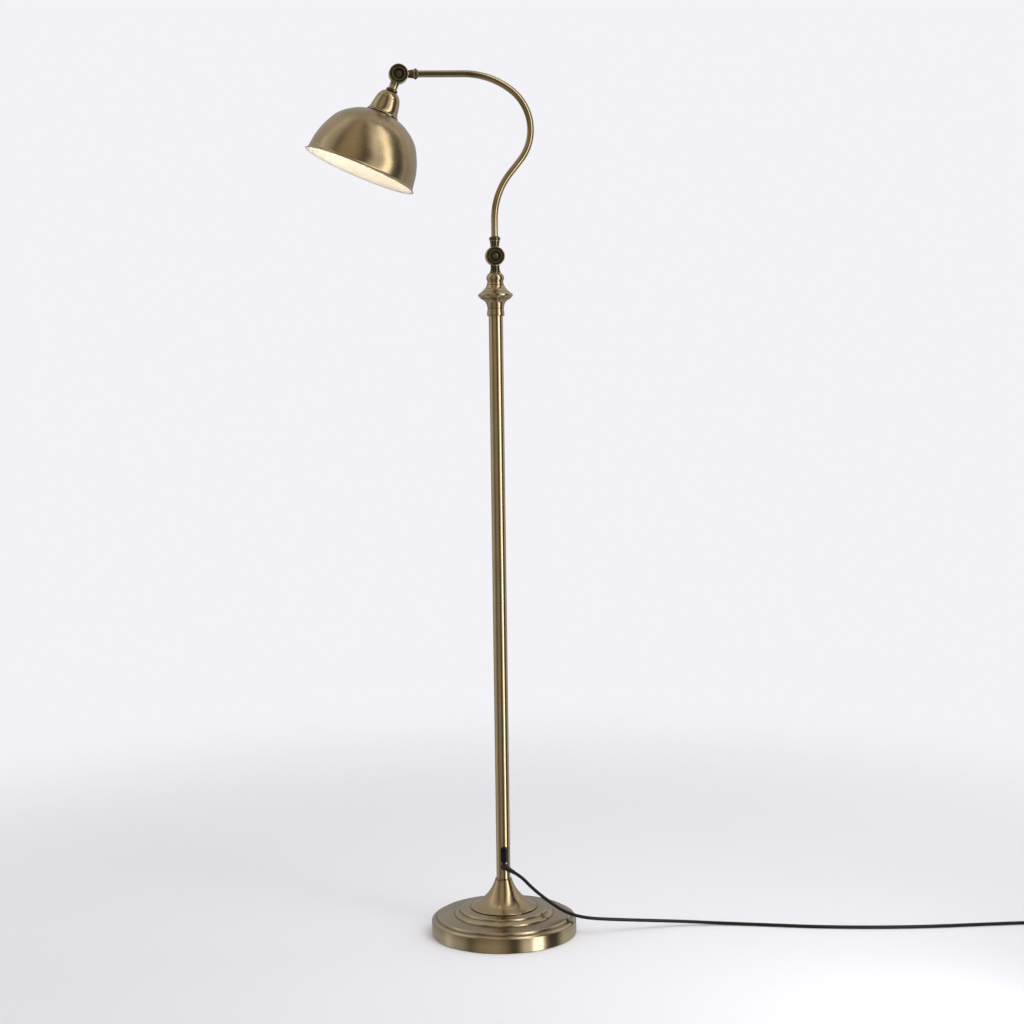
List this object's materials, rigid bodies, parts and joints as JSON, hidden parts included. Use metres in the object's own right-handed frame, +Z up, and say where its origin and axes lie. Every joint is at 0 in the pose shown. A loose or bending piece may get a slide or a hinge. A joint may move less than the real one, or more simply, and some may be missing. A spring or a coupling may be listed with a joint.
{
  "type": "floor lamp",
  "caption": "Pharmacy floor lamp: round stepped base, straight pole, S-bent arm on two knuckle joints, small dome shade, rocker switch and mains cord.",
  "frame": {"origin": "on the pole's axis, on the floor under the base", "axes": "+Z up along the pole; the bent arm lies in the XZ plane and carries the head towards -X; the switch and cord exit face -Y"},
  "size_m": [1.3841, 0.264, 1.5381],
  "materials": {
    "antique_brass": "brushed antique brass, lacquered, with darker lines in the turned grooves",
    "dark_bronze": "burnished dark bronze, worn brighter on its raised rings",
    "plain_brass": "plain turned brass",
    "knuckle_steel": "bronzed steel",
    "zinc_steel": "zinc-plated steel",
    "cast_iron": "raw grey cast iron",
    "felt": "black self-adhesive felt",
    "switch_plastic": "black moulded plastic, fine texture",
    "relief_rubber": "black moulded rubber",
    "cord_black": "black flexible sheath, satin",
    "inner_lead": "grey inner lead",
    "pin_metal": "nickel-plated pins",
    "white_enamel": "warm white enamel, satin",
    "holder_plastic": "black phenolic moulding",
    "lamp_cap": "bright threaded cap",
    "lamp_glass": "opal glass globe"
  },
  "bodies": {
    "stand": {"base_felt_pad": "felt", "base_weight": "cast_iron", "base_cover": "antique_brass", "base_trumpet": "antique_brass", "base_collar": "antique_brass", "base_tie_sleeve": "zinc_steel", "base_tie_bolt": "zinc_steel", "base_washer": "zinc_steel", "lower_pole_tube": "antique_brass", "upper_pole_tube": "antique_brass", "pole_foot_plug": "zinc_steel", "pole_coupler": "zinc_steel", "pole_top_plug": "zinc_steel", "switch_housing": "switch_plastic", "strain_relief": "relief_rubber", "pole_cable": "inner_lead", "knop_ferrule": "antique_brass", "knop_disc": "antique_brass", "knop_neck": "antique_brass", "knop_ring": "antique_brass", "power_cord": "cord_black", "cord_coil": "cord_black", "cord_tail": "cord_black", "plug_body": "cord_black", "plug_pins": "pin_metal"},
    "rocker": {"switch_rocker": "switch_plastic"},
    "swivel": {"swivel_stem": "dark_bronze", "swivel_nut": "zinc_steel", "lower_knuckle_screw": "knuckle_steel", "lower_knuckle_nut": "knuckle_steel"},
    "arm": {"arm_lower_knuckle": "dark_bronze", "arm_lower_collar": "dark_bronze", "arm_tube": "antique_brass", "arm_cable": "inner_lead", "arm_tip_collar": "dark_bronze", "arm_tip_knuckle": "dark_bronze"},
    "head": {"head_knuckle": "dark_bronze", "head_knuckle_screw": "knuckle_steel", "head_knuckle_nut": "knuckle_steel", "head_ring": "dark_bronze", "socket_cup": "antique_brass", "head_nipple": "plain_brass", "head_cable": "inner_lead", "holder_nut": "zinc_steel", "holder_cap": "holder_plastic", "holder_skirt": "holder_plastic", "holder_contact": "plain_brass", "shade_ring": "holder_plastic", "shade": "antique_brass", "shade_lining": "white_enamel", "bulb_cap": "lamp_cap", "bulb_globe": "lamp_glass"}
  },
  "joints": [
    {"name": "switch_rocker_tilt", "type": "hinge", "parent": "stand", "child": "rocker", "pos_m": [0, -0.009, 0.1434], "axis": [1, 0, 0], "range_deg": [-12, 0]},
    {"name": "arm_swivel", "type": "hinge", "parent": "stand", "child": "swivel", "pos_m": [0, 0, 1.17], "axis": [0, 0, 1], "range_deg": [-170, 170]},
    {"name": "arm_tilt", "type": "hinge", "parent": "swivel", "child": "arm", "pos_m": [0, 0, 1.2086], "axis": [0, 1, 0], "range_deg": [-45, 30]},
    {"name": "head_tilt", "type": "hinge", "parent": "arm", "child": "head", "pos_m": [-0.16334, 0, 1.5211], "axis": [0, 1, 0], "range_deg": [-45, 65]}
  ]
}
